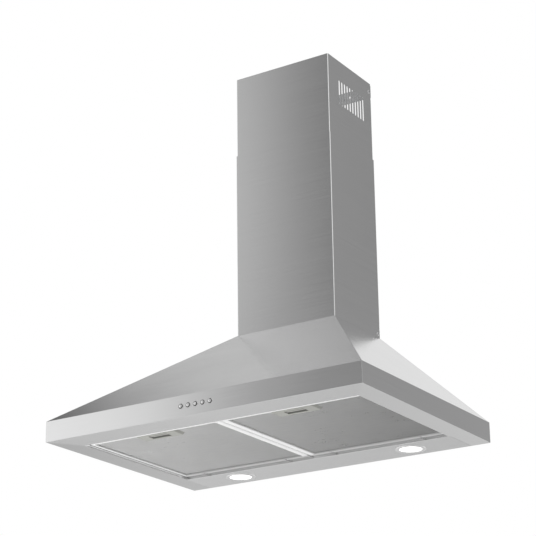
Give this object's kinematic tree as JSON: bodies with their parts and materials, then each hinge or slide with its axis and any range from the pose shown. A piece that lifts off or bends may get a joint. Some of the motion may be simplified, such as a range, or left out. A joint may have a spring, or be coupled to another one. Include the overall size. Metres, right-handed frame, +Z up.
{
  "type": "chimney range hood",
  "caption": "Wall-mounted chimney range hood: pyramid canopy with drop-down mesh filters, lamps and push buttons, blower with flaps, and a telescopic chimney.",
  "frame": {"origin": "on the wall plane, in the middle of the width, level with the underside of the rim", "axes": "+X to the right of a person facing the hood, +Y into the wall, +Z up"},
  "size_m": [0.7, 0.5028, 0.8332],
  "materials": {
    "canopy_steel": "fine brushed stainless, grain along the width",
    "chimney_steel": "fine brushed stainless, grain across the cover",
    "lamp_panel_steel": "fine brushed stainless",
    "galvanised_steel": "dull galvanised sheet",
    "filter_aluminium": "bright rolled aluminium frame",
    "filter_mesh": "fine expanded aluminium mesh",
    "latch_plastic": "satin beige-grey moulding",
    "lamp_trim": "satin light grey ring",
    "lamp_diffuser": "opal diffuser, lit",
    "lamp_metal": "dark anodised heat sink",
    "button_trim": "polished ring",
    "button_cap": "satin metal cap",
    "dark_plastic": "dark grey moulding",
    "screw_steel": "zinc plated steel",
    "motor_paint": "dark lacquered casing",
    "wheel_steel": "galvanised sheet wheel",
    "pale_plastic": "pale grey moulding",
    "capacitor_case": "smooth white case"
  },
  "bodies": {
    "hood": {"canopy_shell": "canopy_steel", "rear_panel": "galvanised_steel", "tray_frame": "galvanised_steel", "centre_rail": "galvanised_steel", "latch_catches": "galvanised_steel", "hinge_hooks": "galvanised_steel", "lamp_panel": "lamp_panel_steel", "lamp_bezel_left": "lamp_trim", "lamp_bezel_right": "lamp_trim", "lamp_lens_left": "lamp_diffuser", "lamp_lens_right": "lamp_diffuser", "lamp_body_left": "lamp_metal", "lamp_body_right": "lamp_metal", "button_rings": "button_trim", "switch_block": "dark_plastic", "switch_screws": "screw_steel", "blower_plate": "galvanised_steel", "scroll_left": "dark_plastic", "scroll_right": "dark_plastic", "scroll_screws": "screw_steel", "motor": "motor_paint", "motor_bracket": "galvanised_steel", "inlet_guard_left": "dark_plastic", "inlet_guard_right": "dark_plastic", "duct_spigot": "dark_plastic", "flap_pin": "screw_steel", "blower_screws": "screw_steel", "junction_box": "pale_plastic", "junction_lid": "pale_plastic", "terminal_block": "pale_plastic", "capacitor": "capacitor_case", "cable_gland": "dark_plastic", "lamp_driver": "pale_plastic", "lower_chimney": "chimney_steel", "lower_chimney_screws": "screw_steel"},
    "upper_cover": {"upper_chimney": "chimney_steel", "chimney_bracket": "galvanised_steel", "upper_chimney_screws": "screw_steel"},
    "fan_wheel": {"impeller": "wheel_steel", "motor_shaft": "screw_steel", "impeller_nut": "screw_steel"},
    "front_flap": {"flap_front": "dark_plastic"},
    "rear_flap": {"flap_rear": "dark_plastic"},
    "left_filter": {"filter_frame_left": "filter_aluminium", "filter_mesh_left": "filter_mesh", "filter_handle_left": "latch_plastic", "latch_spring_left": "screw_steel"},
    "left_latch": {"latch_slider_left": "latch_plastic"},
    "right_filter": {"filter_frame_right": "filter_aluminium", "filter_mesh_right": "filter_mesh", "filter_handle_right": "latch_plastic", "latch_spring_right": "screw_steel"},
    "right_latch": {"latch_slider_right": "latch_plastic"},
    "button_light": {"button_light": "button_cap"},
    "button_off": {"button_off": "button_cap"},
    "button_low": {"button_low": "button_cap"},
    "button_medium": {"button_medium": "button_cap"},
    "button_high": {"button_high": "button_cap"}
  },
  "joints": [
    {"name": "cover_slide", "type": "slide", "parent": "hood", "child": "upper_cover", "axis": [0, 0, 1], "range_m": [-0.14, 0.15]},
    {"name": "fan_spin", "type": "hinge", "parent": "hood", "child": "fan_wheel", "pos_m": [0, -0.128, 0.134], "axis": [1, 0, 0], "continuous": true},
    {"name": "front_flap_hinge", "type": "hinge", "parent": "hood", "child": "front_flap", "pos_m": [0, -0.086, 0.264], "axis": [-1, 0, 0], "range_deg": [0, 70]},
    {"name": "rear_flap_hinge", "type": "hinge", "parent": "hood", "child": "rear_flap", "pos_m": [0, -0.086, 0.264], "axis": [1, 0, 0], "range_deg": [0, 70]},
    {"name": "left_filter_hinge", "type": "hinge", "parent": "hood", "child": "left_filter", "pos_m": [0, -0.0945, 0.009], "axis": [1, 0, 0], "range_deg": [0, 80]},
    {"name": "left_latch_slide", "type": "slide", "parent": "left_filter", "child": "left_latch", "axis": [0, 1, 0], "range_m": [0, 0.006], "stiffness_N_per_m": 250, "deforming": ["latch_spring_left"]},
    {"name": "right_filter_hinge", "type": "hinge", "parent": "hood", "child": "right_filter", "pos_m": [0, -0.0945, 0.009], "axis": [1, 0, 0], "range_deg": [0, 80]},
    {"name": "right_latch_slide", "type": "slide", "parent": "right_filter", "child": "right_latch", "axis": [0, 1, 0], "range_m": [0, 0.006], "stiffness_N_per_m": 250, "deforming": ["latch_spring_right"]},
    {"name": "light_button_press", "type": "slide", "parent": "hood", "child": "button_light", "axis": [0, 1, 0], "range_m": [0, 0.0025], "stiffness_N_per_m": 600},
    {"name": "off_button_press", "type": "slide", "parent": "hood", "child": "button_off", "axis": [0, 1, 0], "range_m": [0, 0.0025], "stiffness_N_per_m": 600},
    {"name": "low_button_press", "type": "slide", "parent": "hood", "child": "button_low", "axis": [0, 1, 0], "range_m": [0, 0.0025], "stiffness_N_per_m": 600},
    {"name": "medium_button_press", "type": "slide", "parent": "hood", "child": "button_medium", "axis": [0, 1, 0], "range_m": [0, 0.0025], "stiffness_N_per_m": 600},
    {"name": "high_button_press", "type": "slide", "parent": "hood", "child": "button_high", "axis": [0, 1, 0], "range_m": [0, 0.0025], "stiffness_N_per_m": 600}
  ]
}
